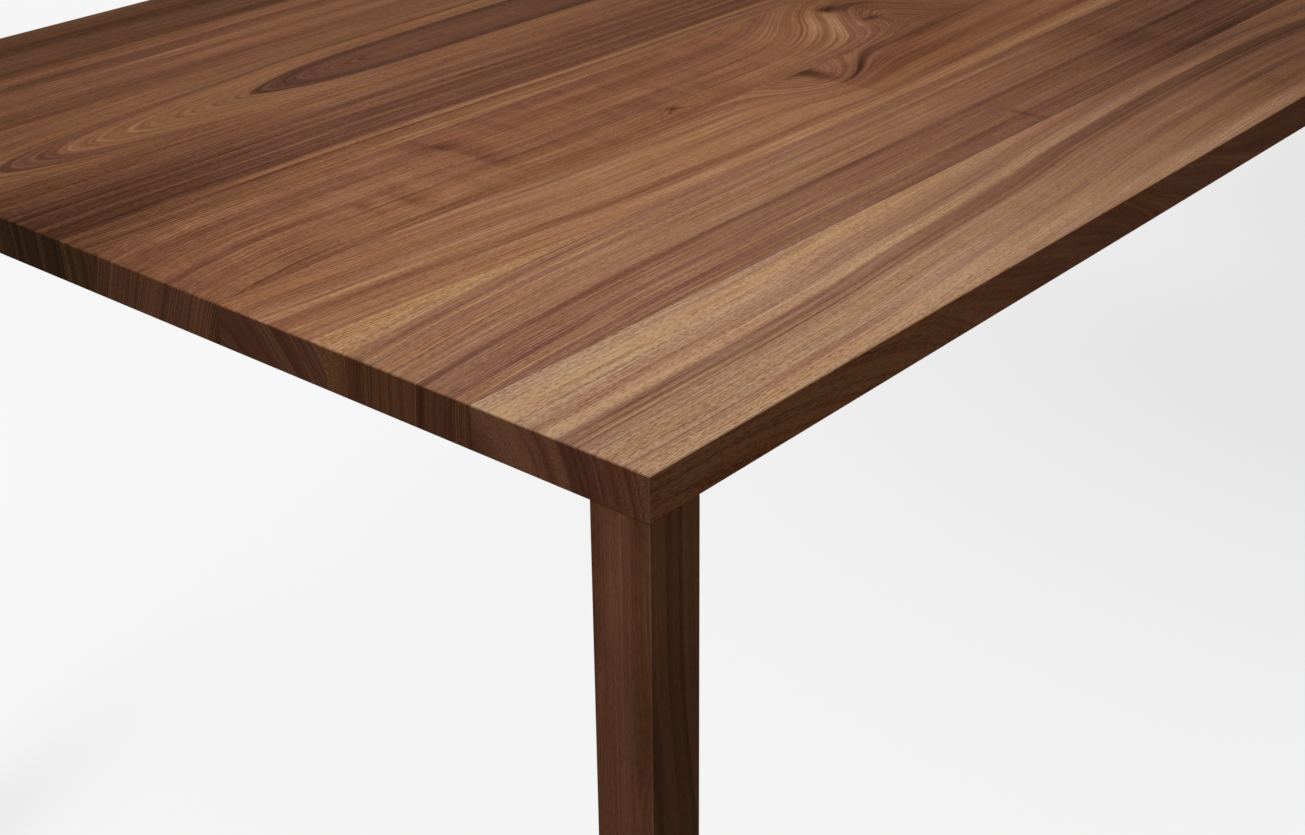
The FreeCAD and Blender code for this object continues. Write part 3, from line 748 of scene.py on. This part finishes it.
def plated_metal(name, dull, bright, roughness):
    """Bare or plated metal with a mottled, finely scratched skin."""
    material, graph = new_material(name)
    place = graph.place()
    cloud = graph.cloud(place, 6.0, detail=3.0)
    scratch = graph.noise(place[0] / 0.3, place[1] / 4.0, place[2] / 4.0, detail=1.0, seed=6.0)
    colour = graph.ramp(cloud * 0.45 + scratch * 0.15 + 0.5, (dull, bright))
    finish_surface(
        graph,
        colour,
        scratch * 0.08 + cloud * 0.1 + roughness,
        graph.bump(scratch * 0.5 + 0.5, PLATING_RELIEF),
        Metallic=1.0,
    )
    return material


def threaded_zinc(node):
    """Zinc plating on an upright stud, with its screw thread as a bump, and painted shade in the thread's
    grooves and painted highlight on its crests.
    """
    low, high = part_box(node)
    material, graph = new_material("zinc_" + node)
    x, y, z = graph.place()
    middle = (low + high) * (MILLIMETRES / 2.0)
    turn = graph.math("ARCTAN2", y - middle.y, x - middle.x) / math.tau
    flank = graph.math("PINGPONG", z / STUD_THREAD_PITCH + turn, 0.5) * 2.0
    cloud = graph.cloud((x, y, z), 5.0, detail=3.0)
    # Painted shade and highlight: darker down in the thread's grooves, paler on its crests.
    colour = graph.ramp(flank * 0.7 + cloud * 0.2 + 0.1, (srgb(96, 94, 90), srgb(206, 203, 196)))
    thread = graph.bump(flank, STUD_THREAD_DEPTH)
    finish_surface(graph, colour, cloud * 0.1 + 0.36, thread, Metallic=1.0)
    return material


def moulded_nylon():
    """Black nylon with the fine grain of a spark-eroded mould."""
    material, graph = new_material("black_nylon")
    place = graph.place()
    grain = graph.cloud(place, 0.35, detail=2.0)
    cloud = graph.cloud(place, 9.0, detail=1.0, seed=2.0)
    colour = graph.ramp(cloud * 0.5 + 0.5, (srgb(21, 21, 22), srgb(34, 34, 35)))
    finish_surface(graph, colour, grain * 0.08 + 0.5, graph.bump(grain * 0.5 + 0.5, NYLON_RELIEF))
    return material


def wool_felt():
    """Grey-brown pressed wool: matt, flecked with paler and darker fibres."""
    material, graph = new_material("wool_felt")
    place = graph.place()
    fleck = graph.cloud(place, 0.5, detail=3.0)
    cloud = graph.cloud(place, 5.0, detail=1.0, seed=3.0)
    wools = (srgb(58, 54, 51), srgb(98, 92, 86), srgb(142, 135, 126))
    colour = graph.ramp(fleck * 0.4 + cloud * 0.25 + 0.5, wools)
    finish_surface(graph, colour, 0.95, graph.bump(fleck * 0.5 + 0.5, FELT_RELIEF), Specular_IOR_Level=0.1)
    return material


def dress_hardware():
    steel = coated_steel()
    zinc = plated_metal("zinc_plated_steel", srgb(122, 122, 120), srgb(204, 202, 194), roughness=0.34)
    brass = plated_metal("brass_insert", srgb(132, 100, 52), srgb(212, 176, 108), roughness=0.32)
    nylon = moulded_nylon()
    finishes = {
        "leg_bracket": steel,
        "bracket_screws": zinc,
        "bracket_inserts": brass,
        "foot_insert": brass,
        "glide_base": nylon,
    }
    for corner in CORNERS:
        for piece, material in finishes.items():
            dress(f"{piece}_{corner}", material)
        dress("glide_stud_" + corner, threaded_zinc("glide_stud_" + corner))
    for place in ("left", "middle", "right"):
        dress("channel_" + place, steel)
        dress("channel_screws_" + place, zinc)


# ---------------------------------------------------------------- felt pads

PAD_SEGMENTS = 72
PAD_EDGE_ROUNDING = 0.0006  # in metres
PAD_CLEARANCE = 0.0002  # the pad's edge inside its CAD space, so that its roughness stays within it
PAD_ROUGHNESS = 0.012  # share of the radius
PAD_LUMPS = 900.0  # in a metre
PAD_RINGS = (0.0, 0.25, 0.5, 0.75, 0.9)  # shares of the radius
EDGE_STEPS = 4


def pad_profile(radius, thickness):
    """(radius, height) from the middle of the lower face round the edge to the middle of the upper."""
    rounding = PAD_EDGE_ROUNDING
    points = [(radius * share, 0.0) for share in PAD_RINGS]
    for start, centre in ((-90.0, rounding), (0.0, thickness - rounding)):
        for step in range(EDGE_STEPS + 1):
            angle = math.radians(start + 90.0 / EDGE_STEPS * step)
            reach = radius - rounding + rounding * math.cos(angle)
            points.append((reach, centre + rounding * math.sin(angle)))
    return points + [(radius * share, thickness) for share in reversed(PAD_RINGS)]


def pad_body(form, middle, radius, thickness, seed):
    """A disc of felt, its edge and faces a little uneven, kept inside its CAD space."""
    rings = []
    for reach, height in pad_profile(radius - PAD_CLEARANCE, thickness):
        ring = []
        for step in range(PAD_SEGMENTS if reach else 1):
            angle = math.tau * step / PAD_SEGMENTS
            place = Vector((reach * math.cos(angle), reach * math.sin(angle), height))
            rough = noise.noise(place * PAD_LUMPS + Vector((seed, 0.0, 0.0)))
            swell = 1.0 + rough * PAD_ROUGHNESS
            place = Vector((place.x * swell, place.y * swell, place.z))
            ring.append(form.verts.new(middle + place))
        rings.append(ring)
    for lower, upper in zip(rings, rings[1:]):
        for step in range(PAD_SEGMENTS):
            following = (step + 1) % PAD_SEGMENTS
            corners = [lower[step % len(lower)], lower[following % len(lower)]]
            corners += [upper[following % len(upper)], upper[step % len(upper)]]
            form.faces.new(list(dict.fromkeys(corners)))


def make_felt_pads():
    felt = wool_felt()
    for number, corner in enumerate(CORNERS):
        node = "glide_pad_" + corner
        low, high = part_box(node)
        middle = Vector(((low.x + high.x) / 2.0, (low.y + high.y) / 2.0, low.z))
        radius, thickness = (high.x - low.x) / 2.0, high.z - low.z
        form = bmesh.new()
        pad_body(form, middle, radius, thickness, 5.0 * number)
        mesh = bpy.data.meshes.new("felt_pad_" + corner)
        bmesh.ops.recalc_face_normals(form, faces=form.faces)
        form.to_mesh(mesh)
        form.free()
        mesh.materials.append(felt)
        for face in mesh.polygons:
            face.use_smooth = True
        pad = bpy.data.objects.new("felt_pad_" + corner, mesh)
        bpy.context.scene.collection.objects.link(pad)
        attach(pad, "glide_" + corner)
        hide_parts(node)


# ---------------------------------------------------------------- studio

FLOOR_RADIUS = 60.0
FLOOR_SEGMENTS = 96
FLOOR_COLOUR = srgb(170, 170, 170)
FLOOR_GLOW = 1.065
GLOW_SHARE = 0.85  # the rest of the floor's brightness is lit, and so holds the table's shadow
REFLECTED_SHARE = 0.35  # how much of the glow a reflection shows

# Painted shade on the floor: how much less it glows to the right of the table, and where, in millimetres.
FLOOR_SHADE = 0.28
SHADE_MIDDLE = (1700.0, -300.0)
SHADE_REACH = (1300.0, 1100.0)

# The same for a painted shadow band on the floor near the front left corner, which runs nearly along x.
SHADOW_BAND_SHADE = 0.12
SHADOW_BAND_START = (-760.0, 480.0)  # a point on its line
SHADOW_BAND_SLOPE = 0.27
SHADOW_BAND_WIDTH = 70.0
SHADOW_BAND_MIDDLE = -1100.0
SHADOW_BAND_LENGTH = 320.0

BACKGROUND = 0.99  # the world as the camera sees it
WORLD_STRENGTH = 0.16  # the world as it lights the table


def seen_directly(graph):
    """1 where the camera or a glass sees the surface, less in a reflection, 0 where it only lights others."""
    rays = graph.node("ShaderNodeLightPath")
    return graph.clamp(
        Field(graph, rays.outputs["Is Camera Ray"])
        + Field(graph, rays.outputs["Is Glossy Ray"]) * REFLECTED_SHARE
        + Field(graph, rays.outputs["Is Transmission Ray"])
    )


def floor_glow(graph):
    """The floor's own brightness, with its painted shade and painted shadow band."""
    x, y, _ = graph.place()
    from_middle = [
        ((axis - middle) / reach) ** 2.0
        for axis, middle, reach in zip((x, y), SHADE_MIDDLE, SHADE_REACH)
    ]
    shade = graph.math("EXPONENT", -(from_middle[0] + from_middle[1]))
    across_shadow_band = y - SHADOW_BAND_START[1] - (x - SHADOW_BAND_START[0]) * SHADOW_BAND_SLOPE
    along_shadow_band = (x - SHADOW_BAND_MIDDLE) / SHADOW_BAND_LENGTH
    shadow_band = graph.math("EXPONENT", -((across_shadow_band / SHADOW_BAND_WIDTH) ** 2.0 + along_shadow_band ** 2.0))
    return FLOOR_GLOW - shade * FLOOR_SHADE - shadow_band * SHADOW_BAND_SHADE


def make_floor():
    """A disc that hides itself from below, so that the underside can be seen."""
    form = bmesh.new()
    bmesh.ops.create_circle(form, cap_ends=True, segments=FLOOR_SEGMENTS, radius=FLOOR_RADIUS)
    mesh = bpy.data.meshes.new("floor")
    form.to_mesh(mesh)
    form.free()
    floor = bpy.data.objects.new("floor", mesh)
    bpy.context.scene.collection.objects.link(floor)
    material, graph = new_material("floor")
    diffuse = graph.node("ShaderNodeBsdfDiffuse")
    diffuse.inputs["Color"].default_value = FLOOR_COLOUR
    glow = graph.node("ShaderNodeEmission")
    graph.feed(glow.inputs["Strength"], floor_glow(graph))
    mixed = graph.node("ShaderNodeMixShader")
    graph.feed(mixed.inputs[0], seen_directly(graph) * GLOW_SHARE)
    graph.feed(mixed.inputs[1], diffuse.outputs[0])
    graph.feed(mixed.inputs[2], glow.outputs[0])
    open_back = graph.node("ShaderNodeMixShader")
    graph.feed(open_back.inputs[0], graph.node("ShaderNodeNewGeometry").outputs["Backfacing"])
    graph.feed(open_back.inputs[1], mixed.outputs[0])
    graph.feed(open_back.inputs[2], graph.node("ShaderNodeBsdfTransparent").outputs[0])
    output = graph.node("ShaderNodeOutputMaterial")
    graph.feed(output.inputs["Surface"], open_back.outputs[0])
    mesh.materials.append(material)


def make_world():
    world = bpy.data.worlds.new("studio")
    world.use_nodes = True
    bpy.context.scene.world = world
    graph = Graph(world.node_tree)
    rays = graph.node("ShaderNodeLightPath")
    background = graph.node("ShaderNodeBackground")
    seen = Field(graph, rays.outputs["Is Camera Ray"])
    graph.feed(background.inputs["Strength"], seen * (BACKGROUND - WORLD_STRENGTH) + WORLD_STRENGTH)
    output = graph.node("ShaderNodeOutputWorld")
    graph.feed(output.inputs["Surface"], background.outputs[0])


def make_lamp(name, place, target, size, power, spread=180.0, shines=True):
    """A rectangular soft light with a cone of spread degrees. Unless it shines, it leaves no highlight."""
    lamp = bpy.data.lights.new(name, "AREA")
    lamp.shape = "RECTANGLE"
    lamp.size, lamp.size_y = size
    lamp.energy = power
    lamp.spread = math.radians(spread)
    holder = bpy.data.objects.new(name, lamp)
    holder.location = place
    holder.rotation_mode = "QUATERNION"
    holder.rotation_quaternion = (Vector(target) - Vector(place)).to_track_quat("-Z", "Y")
    holder.visible_camera = False
    holder.visible_glossy = shines
    bpy.context.scene.collection.objects.link(holder)


LENS = 54.166  # in millimetres, as is the sensor
SENSOR_WIDTH = 36.0
CAMERA_PLACE = (-1.70042, -1.09832, 1.25929)
CAMERA_YAW = 40.3679  # degrees from +X towards +Y
CAMERA_PITCH = 27.1988  # degrees below the horizon
CAMERA_ROLL = -0.5892


def make_camera():
    """Looks down over the front left corner, from outside it."""
    camera = bpy.data.cameras.new("camera")
    camera.lens = LENS
    camera.sensor_width = SENSOR_WIDTH
    yaw, pitch, roll = (math.radians(angle) for angle in (CAMERA_YAW, CAMERA_PITCH, CAMERA_ROLL))
    ahead = Vector((math.cos(pitch) * math.cos(yaw), math.cos(pitch) * math.sin(yaw), -math.sin(pitch)))
    right = Vector((math.sin(yaw), -math.cos(yaw), 0.0))
    up = right.cross(ahead)
    right, up = right * math.cos(roll) + up * math.sin(roll), up * math.cos(roll) - right * math.sin(roll)
    holder = bpy.data.objects.new("camera", camera)
    turn = Matrix((right, up, -ahead)).transposed()
    holder.matrix_world = Matrix.Translation(CAMERA_PLACE) @ turn.to_4x4()
    bpy.context.scene.collection.objects.link(holder)
    bpy.context.scene.camera = holder


def make_lamps():
    """A large soft light over the near half, a weaker one over the far half, and three fills."""
    make_lamp("softbox", (-0.75, 0.05, 2.15), (-0.75, 0.05, 0.75), (1.5, 1.3), 25.0)
    make_lamp(
        "far_softbox", (1.2, 0.1, 1.95), (1.25, 0.1, 0.75), (1.1, 1.2), 10.0, spread=75.0, shines=False
    )
    make_lamp("fill", (-3.6, 0.1, 1.0), (-1.0, -0.3, 0.6), (2.0, 1.4), 12.0)
    make_lamp(
        "back_fill", (3.4, 1.6, 0.7), (1.0, 0.3, 0.7), (2.0, 1.2), 14.0, spread=100.0, shines=False
    )
    make_lamp("under_fill", (0.0, 0.0, 0.02), (0.0, 0.0, 0.72), (1.7, 0.8), 5.0)


bpy.context.scene.view_settings.view_transform = "Standard"
dress_top()
dress_legs()
dress_hardware()
make_felt_pads()
make_floor()
make_world()
make_lamps()
make_camera()
